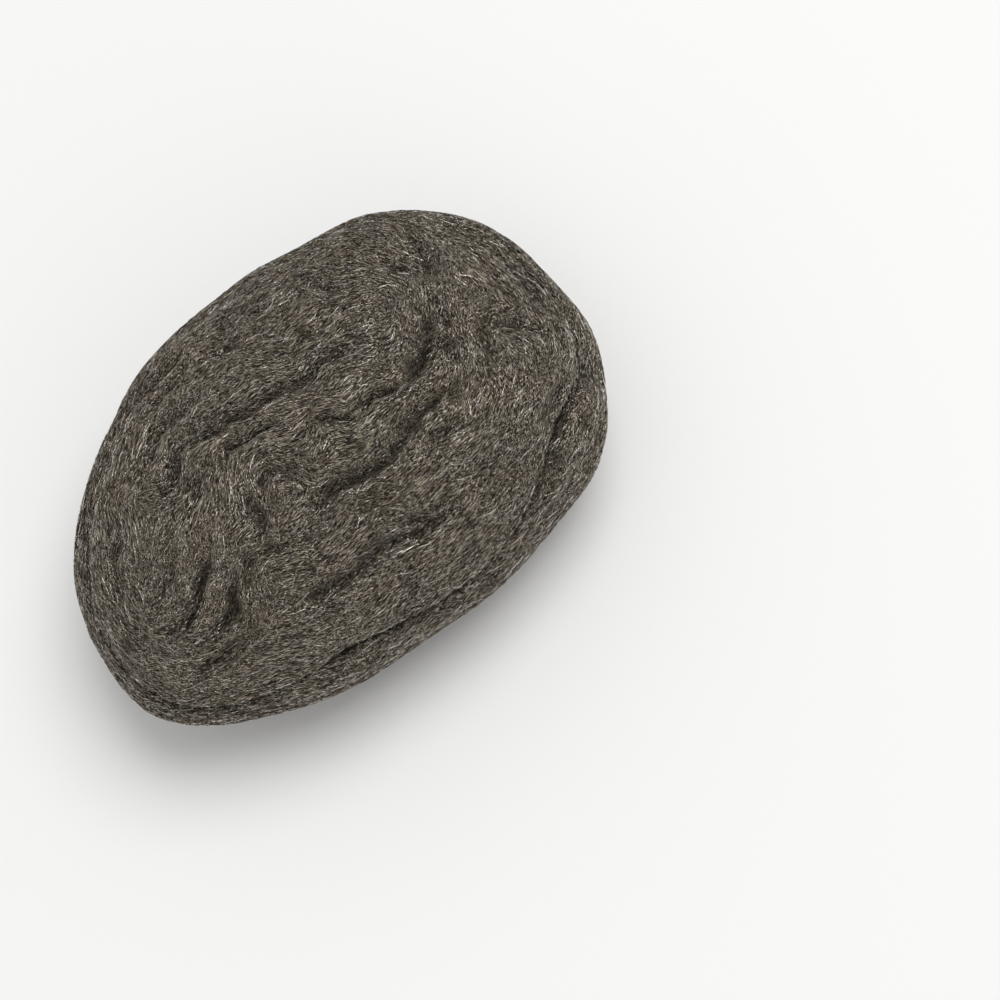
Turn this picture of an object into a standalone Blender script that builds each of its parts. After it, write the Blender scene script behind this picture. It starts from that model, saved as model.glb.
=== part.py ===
"""A pad of fine steel wool, lying flat on its underside. Metres, +Z up, X along the pad, Y across it."""

import bmesh
import bpy
import numpy as np

# Overall sizes of the pad.
PAD_LENGTH = 0.102
PAD_WIDTH = 0.073
PAD_HEIGHT = 0.042

# The folds are planned on a grid of squares over the pad, with its middle at 0, 0.
GRID_COUNT_ALONG = 102
GRID_COUNT_ACROSS = 73
SQUARE_ALONG = PAD_LENGTH / GRID_COUNT_ALONG
SQUARE_ACROSS = PAD_WIDTH / GRID_COUNT_ACROSS

# Rounding of the pad seen from the side: how square the shoulder is, out and up.
SHOULDER_OUT = 2.8
SHOULDER_UP = 2.0
# Share of the rounded body's height that is pressed flat where the pad lies.
PRESSED_SHARE = 0.045
HALF_BODY = PAD_HEIGHT / (1 - PRESSED_SHARE) / 2

# A fold line is a narrow crease in a wider hollow: whole depth, share of the crease, widths, floor.
FOLD_DEPTH = 0.003
CREASE_SHARE = 0.55
CREASE_WIDTH = 0.0009
HOLLOW_WIDTH = 0.0024
FOLD_FLOOR_RADIUS = 0.0006
FOLD_END_LENGTH = 0.005
# The strand swells beside a fold line: how much, how far from the line and how widely.
LIP_RISE = 0.0006
LIP_DISTANCE = 0.0044
LIP_WIDTH = 0.0024

# Turns of the strand lie side by side as low ribs, along the fold lines near them and round the pad elsewhere.
RIB_HEIGHT = 0.0004
RIB_SPACING = 0.007
RIB_COUNT = 14
RIB_FOLLOWS_FOLD = 0.006

# The seam that runs round the side between the face layer and the layer below.
SEAM_HEIGHT = PAD_HEIGHT * 0.545
SEAM_DEPTH = 0.0021
SEAM_SPREAD = 1.2
# Share of the way from the top, 0, to the underside, 2, at which the seam parts two ribs.
SEAM_OUT = 0.93

# Mesh: quads along one edge of the starting cube, and the share of triangles that is kept.
CUBE_QUAD_COUNT = 100
KEPT_SHARE = 0.0965

# Bumps and flats of the outline: direction in degrees, spread in degrees, rise in squares.
OUTLINE_BUMPS = [
    (-164, 12, 2.9),
    (-105, 22, -1.8),
    (-43, 13, 2.6),
    (-2, 14, -3.7),
    (15, 9, -0.9),
    (40, 14, 1.4),
    (58, 12, -1.0),
    (84, 12, -0.7),
    (112, 12, 0.3),
    (150, 24, -0.8),
]

# Fold lines of the face in squares, each with its share of the fold depth and of the reach.
FACE_FOLDS = {
    "middle_long": (1.0, 1.0, [
        (-9.8, -13.2), (-7, -12.5), (-4, -12.8), (-1.4, -13.8), (1.2, -14.6), (4.4, -15.2),
        (6.6, -14.6), (9.4, -14), (13.2, -13), (17.6, -12.7), (20.2, -12.4),
    ]),
    "middle_spur": (0.9, 0.8, [
        (20.6, -12), (19.4, -13.4), (18.6, -15.2),
    ]),
    "core_hook": (1.0, 0.8, [
        (-20, -9.6), (-17.8, -9.2), (-16.9, -7.4), (-16.5, -5), (-15.6, -3.2),
    ]),
    "core_spur": (0.8, 0.8, [
        (-17, -8.2), (-14.6, -8.5),
    ]),
    "core_back": (0.8, 0.8, [
        (-14, -5.2), (-12.8, -3.4), (-10.8, -2.9), (-9.8, -4.2), (-8.4, -6), (-8, -8.4),
    ]),
    "core_top": (0.9, 0.9, [
        (-15.4, 3), (-14.4, 4.6), (-12.4, 5), (-10, 4.2), (-8, 4), (-6, 3.2), (-4, 1.7),
    ]),
    "core_top_left": (0.5, 1.0, [
        (-25, 1.2), (-22.4, 2.4), (-20, 4.4), (-17.4, 4.9),
    ]),
    "middle_faint": (0.6, 0.9, [
        (-1.4, -2.8), (0.6, -2), (2.6, -3.4), (4, -5), (6.4, -5.5), (9.6, -5.2), (12.4, -6.6),
        (15.4, -7.6),
    ]),
    "middle_right": (1.0, 1.0, [
        (14.6, -8), (17.4, -6.7), (18.8, -5.6), (21, -4.9), (23.4, -2.9), (25.2, -1.2), (26.4, 1),
    ]),
    "middle_right_end": (0.9, 0.8, [
        (27, -2.4), (27.5, -0.4), (28.2, 1.6),
    ]),
    "right_branch": (0.8, 0.8, [
        (22.2, -5), (24, -5.6), (24.7, -6.8), (23.6, -8.6),
    ]),
    "upper_left": (0.9, 1.0, [
        (-26.2, 8.6), (-24.8, 7.2), (-23, 8.8), (-21.2, 10.4), (-18.8, 11.6),
    ]),
    "upper_long": (0.8, 0.9, [
        (-17, 10.7), (-14, 9.8), (-11.8, 8.8), (-9.8, 9), (-7.4, 7.8), (-3.6, 7.3), (0, 6.6),
        (2.4, 5.2), (4.6, 4.8), (7, 5.8), (10.8, 4.4), (12.8, 3.4),
    ]),
    "upper_faint": (0.5, 0.9, [
        (2.4, 12.8), (4.4, 11.2), (7.4, 11.2), (10, 10.2), (12.6, 10.2),
    ]),
    "right_turn": (0.8, 0.9, [
        (28.6, -13), (29.8, -10), (30.6, -8), (32, -7.5),
    ]),
    "right_arc": (0.9, 0.9, [
        (32, -8.4), (34, -8.9), (35.6, -10), (36.4, -11.3), (37.2, -13),
    ]),
    "right_arc_spur": (0.8, 0.8, [
        (32.6, -9), (33.6, -11.4),
    ]),
    "right_foot": (0.9, 0.8, [
        (11, -17.8), (13, -17.6), (14.6, -17.9), (16.8, -18),
    ]),
    "lower_long": (1.0, 0.9, [
        (-22, -22), (-19, -23.2), (-16, -24), (-12.6, -24.8), (-9.6, -25), (-6, -24.9),
        (-2.4, -25.8), (0, -27), (2.4, -27.3), (6.6, -27.2),
    ]),
    "lower_branch": (0.7, 0.8, [
        (-1.4, -24.4), (1, -25.2), (3.6, -25.8), (6.4, -25.8),
    ]),
    "lower_turn": (0.6, 1.0, [
        (-17.6, -14), (-20.4, -12.2), (-23, -12), (-25.3, -14), (-26.2, -16.4),
    ]),
    "left_far": (0.6, 1.0, [
        (-38, -4.8), (-35, -4), (-32.8, -2.6), (-30.6, -1),
    ]),
    "left_upper": (1.0, 0.9, [
        (-39.8, -9.8), (-37.4, -10.9), (-35, -10.6), (-33.2, -9.6), (-31.4, -8.5), (-28.4, -7.1),
        (-26.6, -5.6),
    ]),
    "left_middle": (1.0, 0.9, [
        (-35.6, -15.6), (-32.4, -15.6), (-30.2, -15.8), (-29.4, -14.4), (-28.2, -13),
        (-25.6, -11.6),
    ]),
    "left_lower": (0.8, 0.9, [
        (-41.4, -17.2), (-39, -18), (-37, -19), (-34.4, -19.1), (-31.2, -19.8), (-29.4, -19),
    ]),
    "left_rim": (0.5, 0.9, [
        (-42.2, 1.2), (-41.2, 3.8), (-40.2, 6), (-37.8, 7), (-35.6, 8.6), (-34.8, 10.6),
    ]),
    "shoulder_near": (0.6, 1.1, [
        (-27, 12.8), (-24.4, 14), (-21.4, 16.2), (-18.6, 17.4), (-15, 16.8), (-11.6, 16.7),
    ]),
    "shoulder_mid": (0.6, 1.1, [
        (-18.6, 21.8), (-14.6, 22.8), (-12, 22.7), (-9.4, 23.8),
    ]),
    "shoulder_far": (0.9, 1.2, [
        (-47.4, 7), (-43.4, 12.8), (-39.2, 17.2), (-35.6, 19.7), (-30.8, 22.8), (-28.4, 24.4),
        (-25, 26.2), (-20.8, 27.4), (-16, 27.2), (-9, 26.8),
    ]),
    "crown_left": (0.9, 0.9, [
        (-3.8, 21.4), (-2, 20.6), (-0.4, 19.9),
    ]),
    "crown_spot": (0.7, 0.9, [
        (5.6, 22.2), (8, 21.2),
    ]),
    "crown_soft": (0.6, 1.0, [
        (9.2, 18.2), (12.4, 19), (15, 19.9), (16.4, 17.6), (17.4, 15), (19.4, 13.8),
    ]),
    "crown_right": (0.7, 1.1, [
        (26.8, 14.4), (27.7, 12.4), (28.6, 11), (29.6, 8.6),
    ]),
    "crown_end": (0.6, 1.1, [
        (31.2, 6.4), (32.4, 8.8), (33.2, 11), (33.2, 14), (34.4, 17),
    ]),
    "crown_rim": (0.5, 1.1, [
        (41, -10), (42.4, -6), (43.2, 0), (43.2, 4), (42.4, 8), (41.2, 12), (39.2, 15.4),
    ]),
    "end_lip": (0.8, 0.9, [
        (37.6, -22.2), (39.2, -22), (40.4, -21.2), (41.8, -19.2),
    ]),
    "seam_branch": (0.7, 0.9, [
        (28.6, -25.8), (30.4, -25), (32, -24), (34, -23), (36.8, -21.6),
    ]),
}

# Fold lines of the underside, which shows plain long turns.
UNDERSIDE_FOLDS = {
    "under_left": (0.7, 1.0, [
        (-36, -8), (-34, 4), (-26, 12), (-12, 16), (4, 17),
    ]),
    "under_middle": (0.8, 1.0, [
        (-24, -4), (-14, 2), (0, 3), (14, 0), (26, 2), (33, 8),
    ]),
    "under_right": (0.7, 1.0, [
        (-16, -15), (-2, -12), (12, -13), (26, -10), (35, -2),
    ]),
    "under_rim": (0.5, 1.1, [
        (-30, -20), (-14, -26), (6, -28), (24, -24),
    ]),
}

# Soft hollows and swellings of the face: place in squares, radius in squares, rise in squares.
FACE_SWELLS = [
    (-1, 24, 5, -1.1),
    (31, 10, 5, -0.8),
    (-36, -3, 6, -0.7),
    (20, -9, 4.5, -0.9),
    (-14, -8, 4, -0.5),
    (6, -20, 7, 0.8),
    (26, -21, 8, 0.9),
    (34, 0, 6, 0.5),
    (8, 1, 5, 0.5),
    (-30, 4, 6, 0.5),
    (-22, -29, 7, 0.4),
    (14, 14, 7, 0.4),
]

# Path of the side seam: direction in degrees, rise in squares above its mean height, share of its depth.
SEAM_COURSE = [
    (-180, 3.6, 0.6),
    (-172, 3.2, 0.7),
    (-165, 2.4, 1.1),
    (-158, 0.5, 0.9),
    (-150, -0.3, 0.6),
    (-143, 0.6, 0.6),
    (-135, 2.8, 0.9),
    (-125, 4, 1.4),
    (-117, 3.1, 1.3),
    (-110, 2, 1.1),
    (-100, 0.5, 1.1),
    (-80, 1, 0.6),
    (-62, 4, 0.5),
    (-54, 6.4, 0.7),
    (-48, 7.8, 1.2),
    (-42, 8, 1.6),
    (-37, 7.4, 1.1),
    (-30, 5, 0.5),
    (-8, 5, 0.5),
    (12, 4, 0.6),
    (60, 3, 0.7),
    (110, 4, 0.8),
    (150, 5, 0.8),
    (168, 4.6, 0.7),
    (180, 3.6, 0.6),
]


def curve_through(points, step=0.5):
    """Points along a Catmull-Rom curve through the given ones, and how far along each one lies."""
    p = np.array([points[0], *points, points[-1]], float)
    parts = []
    for a, b, c, d in zip(p[:-3], p[1:-2], p[2:-1], p[3:]):
        count = max(2, int(np.hypot(*(c - b)) / step))
        t = np.linspace(0, 1, count, endpoint=False)[:, None]
        bend = (2 * a - 5 * b + 4 * c - d) * t**2 + (3 * b - a - 3 * c + d) * t**3
        parts.append((2 * b + (c - a) * t + bend) / 2)
    line = np.concatenate([*parts, p[-1:]])
    along = np.concatenate([[0], np.cumsum(np.hypot(*np.diff(line, axis=0).T))])
    return line, along


def outline(angle):
    """Radius of the pad's outline in squares: an ellipse with a few bumps and flats."""
    radius = 1 / np.hypot(np.cos(angle) * 2 / GRID_COUNT_ALONG, np.sin(angle) * 2 / GRID_COUNT_ACROSS)
    for towards, spread, rise in OUTLINE_BUMPS:
        turn = (np.degrees(angle) - towards + 180) % 360 - 180
        radius = radius + rise * np.exp(-((turn / spread) ** 2))
    return radius


def body(out, angle):
    """Points of the smooth pad. Out runs from 0 at the top, through 1 at the side, to 2 underneath."""
    reach = np.sin(np.pi / 2 * np.minimum(out, 2 - out))
    rise = (1 - reach**SHOULDER_OUT) ** (1 / SHOULDER_UP) * np.where(out > 1, -1, 1)
    radius = outline(angle) * reach
    x = radius * np.cos(angle) * SQUARE_ALONG
    y = radius * np.sin(angle) * SQUARE_ACROSS
    return np.stack([x, y, PAD_HEIGHT + HALF_BODY * (rise - 1)], axis=-1)


def valley(away, spread):
    """Share of its depth that a valley has at some distance from its middle line."""
    crease = np.exp((FOLD_FLOOR_RADIUS - np.hypot(away, FOLD_FLOOR_RADIUS)) / (CREASE_WIDTH * spread))
    hollow = np.exp(-((away / (HOLLOW_WIDTH * spread)) ** 2))
    return CREASE_SHARE * crease + (1 - CREASE_SHARE) * hollow


def fold_depth(plan, folds):
    """Depth of the deepest fold line at each place, less the swelling beside it, and the nearest line's distance."""
    nearest = np.full(len(plan), np.inf)
    depth = np.zeros(len(plan))
    lip = np.zeros(len(plan))
    for share, spread, points in folds.values():
        line, along = curve_through(points)
        gap = (plan[:, None, :] - line[None, :, :]) * [SQUARE_ALONG, SQUARE_ACROSS]
        away = np.linalg.norm(gap, axis=2)
        near = away.argmin(axis=1)
        along = along[near] * SQUARE_ALONG
        ends = np.clip(np.minimum(along, along.max() - along) / FOLD_END_LENGTH + 0.3, 0, 1)
        away = away[np.arange(len(plan)), near]
        nearest = np.minimum(nearest, away)
        depth = np.maximum(depth, share * ends * FOLD_DEPTH * valley(away, spread))
        beside = np.exp(-(((away - LIP_DISTANCE) / LIP_WIDTH) ** 2))
        lip = np.maximum(lip, share * ends * LIP_RISE * beside)
    return depth - lip, nearest


def seam_depth(points, angle):
    """Depth of the seam that runs round the side."""
    towards, rise, share = np.array(SEAM_COURSE, float).T
    height = SEAM_HEIGHT + np.interp(np.degrees(angle), towards, rise) * SQUARE_ALONG
    share = np.interp(np.degrees(angle), towards, share)
    return share * SEAM_DEPTH * valley(points[:, 2] - height, SEAM_SPREAD)


def swelling(plan):
    """Soft rise of the face in metres."""
    rise = np.zeros(len(plan))
    for x, y, radius, lift in FACE_SWELLS:
        rise += lift * SQUARE_ALONG * np.exp(-((plan - [x, y]) ** 2).sum(axis=1) / radius**2)
    return rise


def smooth_share(value, low, high):
    t = np.clip((value - low) / (high - low), 0, 1)
    return t * t * (3 - 2 * t)


def rib_rise(out, angle, nearest):
    """Rise of the low ribs, with a furrow at each fold line and at the seam."""
    beside = np.exp(-((nearest / RIB_FOLLOWS_FOLD) ** 2))
    along_fold = -np.cos(2 * np.pi * np.minimum(nearest, 1) / RIB_SPACING)
    sway = 0.6 * np.sin(2 * angle + 1) + 0.4 * np.sin(5 * angle)
    round_pad = -np.cos(np.pi * RIB_COUNT * (out - SEAM_OUT) + sway)
    height = RIB_HEIGHT * (0.7 + 0.3 * np.sin(3 * angle + 4 * out))
    shown = smooth_share(out, 0.05, 0.25) * smooth_share(-out, -1.5, -1.3)
    return height * shown * (beside * along_fold + (1 - beside) * round_pad)


def pad_points(directions):
    """Points of the pad for points of a ball."""
    angle = np.arctan2(directions[:, 1], directions[:, 0])
    out = np.arccos(np.clip(directions[:, 2], -1, 1)) * 2 / np.pi
    points = body(out, angle)
    step = 0.002
    bound = np.clip(out, step, 2 - step)
    down = body(bound + step, angle) - body(bound - step, angle)
    round_it = body(bound, angle + step) - body(bound, angle - step)
    normal = np.cross(down, round_it)
    normal /= np.linalg.norm(normal, axis=1)[:, None]
    plan = points[:, :2] / [SQUARE_ALONG, SQUARE_ACROSS]
    upper = smooth_share(-out, -1.02, -0.9)
    lower = smooth_share(out, 1.15, 1.3)
    face_depth, nearest = fold_depth(plan, FACE_FOLDS)
    under_depth, _ = fold_depth(plan, UNDERSIDE_FOLDS)
    sunk = upper * face_depth + lower * under_depth
    sunk = np.maximum(sunk, seam_depth(points, angle)) - upper * swelling(plan)
    nearest = np.where(out < 1, nearest, np.inf)
    return points - normal * (sunk - rib_rise(out, angle, nearest))[:, None]


def fit_to_size(points):
    """The points scaled and moved to the named length, width and height, lying flat at Z = 0."""
    size = [PAD_LENGTH, PAD_WIDTH, PAD_HEIGHT]
    points[:, 2] = np.maximum(points[:, 2], 0)
    low = points.min(axis=0)
    high = points.max(axis=0)
    return (points - (low + high) / 2 * [1, 1, 0]) * size / (high - low)


def make_pad(name, home):
    mesh = bpy.data.meshes.new(name)
    shape = bmesh.new()
    bmesh.ops.create_cube(shape, size=2)
    bmesh.ops.subdivide_edges(shape, edges=shape.edges[:], cuts=CUBE_QUAD_COUNT - 1, use_grid_fill=True)
    shape.to_mesh(mesh)
    shape.free()
    flat = np.empty(len(mesh.vertices) * 3)
    mesh.vertices.foreach_get("co", flat)
    # Equal angles along the cube's edges, so that the squares keep alike on the ball.
    directions = np.tan(flat.reshape(-1, 3) * np.pi / 4)
    directions /= np.linalg.norm(directions, axis=1)[:, None]
    mesh.vertices.foreach_set("co", fit_to_size(pad_points(directions)).ravel())
    mesh.polygons.foreach_set("use_smooth", [True] * len(mesh.polygons))
    pad = bpy.data.objects.new(name, mesh)
    home.objects.link(pad)
    thin = pad.modifiers.new("fewer_faces", "DECIMATE")
    thin.ratio = KEPT_SHARE
    return pad


def steel_wool():
    material = bpy.data.materials.new("steel_wool")
    material.use_nodes = True
    shader = material.node_tree.nodes["Principled BSDF"]
    shader.inputs["Base Color"].default_value = (0.094, 0.081, 0.066, 1)
    shader.inputs["Metallic"].default_value = 0.6
    shader.inputs["Roughness"].default_value = 0.62
    material.diffuse_color = (0.094, 0.081, 0.066, 1)
    return material


for old in list(bpy.data.objects):
    bpy.data.objects.remove(old, do_unlink=True)

home = bpy.data.collections.new("steel_wool_pad")
bpy.context.scene.collection.children.link(home)
pad = make_pad("steel_wool_pad", home)
pad.data.materials.append(steel_wool())
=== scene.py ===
# A hand pad of fine steel wool, folded from a wound strand, lying on a pale table.
# The pad is a matted body with thousands of separate fibres laid along its folds.

import math

import bpy
import numpy as np
from mathutils import Matrix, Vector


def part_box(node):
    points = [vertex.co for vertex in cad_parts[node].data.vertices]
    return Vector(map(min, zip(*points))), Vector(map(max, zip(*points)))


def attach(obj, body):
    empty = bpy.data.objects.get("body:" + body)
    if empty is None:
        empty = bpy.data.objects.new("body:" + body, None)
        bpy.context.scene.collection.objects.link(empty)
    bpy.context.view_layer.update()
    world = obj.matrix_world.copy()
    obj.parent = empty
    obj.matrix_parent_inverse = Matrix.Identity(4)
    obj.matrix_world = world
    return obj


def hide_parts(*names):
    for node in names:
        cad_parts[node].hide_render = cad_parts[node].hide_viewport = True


mm = 0.001

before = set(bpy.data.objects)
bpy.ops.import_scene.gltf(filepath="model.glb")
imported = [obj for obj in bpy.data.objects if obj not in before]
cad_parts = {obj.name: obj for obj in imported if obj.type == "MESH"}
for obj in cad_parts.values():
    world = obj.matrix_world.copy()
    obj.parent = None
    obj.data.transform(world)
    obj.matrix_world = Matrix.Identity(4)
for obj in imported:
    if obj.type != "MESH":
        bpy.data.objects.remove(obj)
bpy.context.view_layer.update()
padLow, padHigh = (np.array(corner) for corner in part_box("steel_wool_pad"))
padSize = padHigh - padLow
print("frame loaded, pad", np.round(padSize / mm, 1), "mm")


# The plan of the folds, on a grid of squares that fills the pad's length and width.
plan = dict(
    along=102,  # squares along the pad
    across=73,  # squares across it
    shoulder=2.8,  # how square the shoulder is; 2 is an ellipse
    pressed=0.045,  # share of the rounded height that is pressed flat
    faceEnds=(0.9, 1.02),  # where the folds of the face fade, between 0 on top and 2 underneath
    undersideStarts=(1.15, 1.3),  # and where those of the underside come in
    bumps=[  # of the outline: direction and spread in degrees, rise in squares
        (-164, 12, 2.9),
        (-105, 22, -1.8),
        (-43, 13, 2.6),
        (-2, 14, -3.7),
        (15, 9, -0.9),
        (40, 14, 1.4),
        (58, 12, -1.0),
        (84, 12, -0.7),
        (112, 12, 0.3),
        (150, 24, -0.8),
    ],
)

# Fold lines: a narrow crease in a wide hollow, with the strand swelling beside it.
folds = dict(
    depth=2.6 * mm,
    creaseShare=0.7,  # of the depth; the hollow takes the rest
    creaseWidth=0.6 * mm,
    hollowWidth=2.1 * mm,
    paintedShadeWidth=0.6 * mm,  # width of the painted shade of the unlit wool at the bottom of the crease
    floor=0.3 * mm,  # rounding at the bottom of the crease
    taper=5 * mm,  # length over which the ends fade
    endShare=0.3,  # of the depth that is left at the very end
    lipRise=0.6 * mm,
    lipAway=4.4 * mm,
    lipReach=2.4 * mm,
)

# Low ribs of the strand, side by side, along the folds near them and round the pad elsewhere.
ribs = dict(
    height=0.4 * mm,
    spacing=7 * mm,
    count=14,
    followsFold=6 * mm,  # how far from a fold line they still follow it
    seamOut=0.93,  # where the seam parts two ribs, between 0 on top and 2 underneath
    fadeIn=(0.05, 0.25),  # from the middle of the face
    fadeOut=(1.3, 1.5),  # towards the pressed underside
)

# Which way the strand runs: along the folds near them, round the outline towards the side,
# and lengthways in the middle. Each is a weight in one sum, so the strongest decides.
flows = dict(
    besideFold=4.5 * mm,  # how far from a fold line the strand still follows it
    roundMiddle=0.12,
    roundSide=3,
    sideFrom=(0.7, 0.97),  # share of the reach over which the side takes over
    lengthways=0.15,
)

# Each line: share of the depth, share of the widths, points in squares.
faceLines = [
    (1.0, 1.0, [
        (-9.8, -13.2), (-7, -12.5), (-4, -12.8), (-1.4, -13.8), (1.2, -14.6), (4.4, -15.2),
        (6.6, -14.6), (9.4, -14), (13.2, -13), (17.6, -12.7), (20.2, -12.4),
    ]),
    (0.9, 0.8, [(20.6, -12), (19.4, -13.4), (18.6, -15.2)]),
    (1.0, 0.8, [(-20, -9.6), (-17.8, -9.2), (-16.9, -7.4), (-16.5, -5), (-15.6, -3.2)]),
    (0.8, 0.8, [(-17, -8.2), (-14.6, -8.5)]),
    (0.8, 0.8, [(-14, -5.2), (-12.8, -3.4), (-10.8, -2.9), (-9.8, -4.2), (-8.4, -6), (-8, -8.4)]),
    (0.9, 0.9, [(-15.4, 3), (-14.4, 4.6), (-12.4, 5), (-10, 4.2), (-8, 4), (-6, 3.2), (-4, 1.7)]),
    (0.8, 1.0, [(-25, 1.2), (-22.4, 2.4), (-20, 4.4), (-17.4, 4.9)]),
    (0.7, 0.9, [
        (-1.4, -2.8), (0.6, -2), (2.6, -3.4), (4, -5), (6.4, -5.5), (9.6, -5.2), (12.4, -6.6),
        (15.4, -7.6),
    ]),
    (1.0, 1.0, [(14.6, -8), (17.4, -6.7), (18.8, -5.6), (21, -4.9), (23.4, -2.9), (25.2, -1.2), (26.4, 1)]),
    (0.7, 0.8, [(27, -2.4), (27.5, -0.4), (28.2, 1.6)]),
    (0.8, 0.8, [(22.2, -5), (24, -5.6), (24.7, -6.8), (23.6, -8.6)]),
    (1.1, 1.0, [(-26.2, 8.6), (-24.8, 7.2), (-23, 8.8), (-21.2, 10.4), (-18.8, 11.6)]),
    (0.8, 0.9, [
        (-17, 10.7), (-14, 9.8), (-11.8, 8.8), (-9.8, 9), (-7.4, 7.8), (-3.6, 7.3), (0, 6.6),
        (2.4, 5.2), (4.6, 4.8), (7, 5.8), (10.8, 4.4), (12.8, 3.4),
    ]),
    (0.5, 0.9, [(2.4, 12.8), (4.4, 11.2), (7.4, 11.2), (10, 10.2), (12.6, 10.2)]),
    (0.8, 0.9, [(28.6, -13), (29.8, -10), (30.6, -8), (32, -7.5)]),
    (0.8, 0.9, [(32, -8.4), (34, -8.9), (35.6, -10), (36.4, -11.3), (37.2, -13)]),
    (0.8, 0.8, [(32.6, -9), (33.6, -11.4)]),
    (0.9, 0.8, [(11, -17.8), (13, -17.6), (14.6, -17.9), (16.8, -18)]),
    (0.8, 0.9, [
        (-22, -22), (-19, -23.2), (-16, -24), (-12.6, -24.8), (-9.6, -25), (-6, -24.9),
        (-2.4, -25.8), (0, -27), (2.4, -27.3), (6.6, -27.2),
    ]),
    (0.7, 0.8, [(-1.4, -24.4), (1, -25.2), (3.6, -25.8), (6.4, -25.8)]),
    (0.6, 1.0, [(-17.6, -14), (-20.4, -12.2), (-23, -12), (-25.3, -14), (-26.2, -16.4)]),
    (0.7, 1.0, [(-38, -4.8), (-35, -4), (-32.8, -2.6), (-30.6, -1)]),
    (1.0, 0.9, [
        (-39.8, -9.8), (-37.4, -10.9), (-35, -10.6), (-33.2, -9.6), (-31.4, -8.5), (-28.4, -7.1),
        (-26.6, -5.6),
    ]),
    (1.0, 0.9, [
        (-35.6, -15.6), (-32.4, -15.6), (-30.2, -15.8), (-29.4, -14.4), (-28.2, -13),
        (-25.6, -11.6),
    ]),
    (0.7, 0.9, [(-41.4, -17.2), (-39, -18), (-37, -19), (-34.4, -19.1), (-31.2, -19.8), (-29.4, -19)]),
    (0.35, 0.9, [(-42.2, 1.2), (-41.2, 3.8), (-40.2, 6), (-37.8, 7), (-35.6, 8.6), (-34.8, 10.6)]),
    (0.6, 1.1, [(-27, 12.8), (-24.4, 14), (-21.4, 16.2), (-18.6, 17.4), (-15, 16.8), (-11.6, 16.7)]),
    (0.6, 1.1, [(-18.6, 21.8), (-14.6, 22.8), (-12, 22.7), (-9.4, 23.8)]),
    (0.9, 1.2, [
        (-47.4, 7), (-43.4, 12.8), (-39.2, 17.2), (-35.6, 19.7), (-30.8, 22.8), (-28.4, 24.4),
        (-25, 26.2), (-20.8, 27.4), (-16, 27.2), (-9, 26.8),
    ]),
    (0.8, 0.9, [(-3.8, 21.4), (-2, 20.6), (-0.4, 19.9)]),
    (0.7, 0.9, [(5.6, 22.2), (8, 21.2)]),
    (0.6, 1.0, [(9.2, 18.2), (12.4, 19), (15, 19.9), (16.4, 17.6), (17.4, 15), (19.4, 13.8)]),
    (0.7, 1.1, [(26.8, 14.4), (27.7, 12.4), (28.6, 11), (29.6, 8.6)]),
    (0.6, 1.1, [(31.2, 6.4), (32.4, 8.8), (33.2, 11), (33.2, 14), (34.4, 17)]),
    (0.5, 1.1, [(41, -10), (42.4, -6), (43.2, 0), (43.2, 4), (42.4, 8), (41.2, 12), (39.2, 15.4)]),
    (0.8, 0.9, [(37.6, -22.2), (39.2, -22), (40.4, -21.2), (41.8, -19.2)]),
    (0.7, 0.9, [(28.6, -25.8), (30.4, -25), (32, -24), (34, -23), (36.8, -21.6)]),
]
undersideLines = [
    (0.7, 1.0, [(-36, -8), (-34, 4), (-26, 12), (-12, 16), (4, 17)]),
    (0.8, 1.0, [(-24, -4), (-14, 2), (0, 3), (14, 0), (26, 2), (33, 8)]),
    (0.7, 1.0, [(-16, -15), (-2, -12), (12, -13), (26, -10), (35, -2)]),
    (0.5, 1.1, [(-30, -20), (-14, -26), (6, -28), (24, -24)]),
]

# Soft hollows and swellings of the face: place, radius and rise in squares.
faceSwells = [
    (-1, 24, 5, -1.1),
    (31, 10, 5, -0.8),
    (-36, -3, 6, -0.7),
    (20, -9, 4.5, -0.9),
    (-14, -8, 4, -0.5),
    (6, -20, 7, 0.8),
    (26, -21, 8, 0.9),
    (34, 0, 6, 0.5),
    (8, 1, 5, 0.5),
    (-30, 4, 6, 0.5),
    (-22, -29, 7, 0.4),
    (14, 14, 7, 0.4),
]

# The seam round the side: its mean height as a share of the pad's, and its course.
seam = dict(
    height=0.545,
    depth=2.1 * mm,
    spread=1.2,  # share of the folds' widths
    course=[  # direction in degrees, rise in squares, share of the depth
        (-180, 3.6, 0.6),
        (-172, 3.2, 0.7),
        (-165, 2.4, 1.1),
        (-158, 0.5, 0.9),
        (-150, -0.3, 0.6),
        (-143, 0.6, 0.6),
        (-135, 2.8, 0.9),
        (-125, 4, 1.4),
        (-117, 3.1, 1.3),
        (-110, 2, 1.1),
        (-100, 0.5, 1.1),
        (-80, 1, 0.6),
        (-62, 4, 0.5),
        (-54, 6.4, 0.7),
        (-48, 7.8, 1.5),
        (-42, 8, 2.0),
        (-37, 7.4, 1.4),
        (-30, 5, 0.5),
        (-8, 5, 0.5),
        (12, 4, 0.6),
        (60, 3, 0.7),
        (110, 4, 0.8),
        (150, 5, 0.8),
        (168, 4.6, 0.7),
        (180, 3.6, 0.6),
    ],
)

square = np.array([padSize[0] / plan["along"], padSize[1] / plan["across"]])
halfBody = padSize[2] / (1 - plan["pressed"]) / 2


def smoothShare(value, low, high):
    # 0 below low, 1 above high, and 3t^2 - 2t^3 between them
    t = np.clip((value - low) / (high - low), 0, 1)
    return t * t * (3 - 2 * t)


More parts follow.
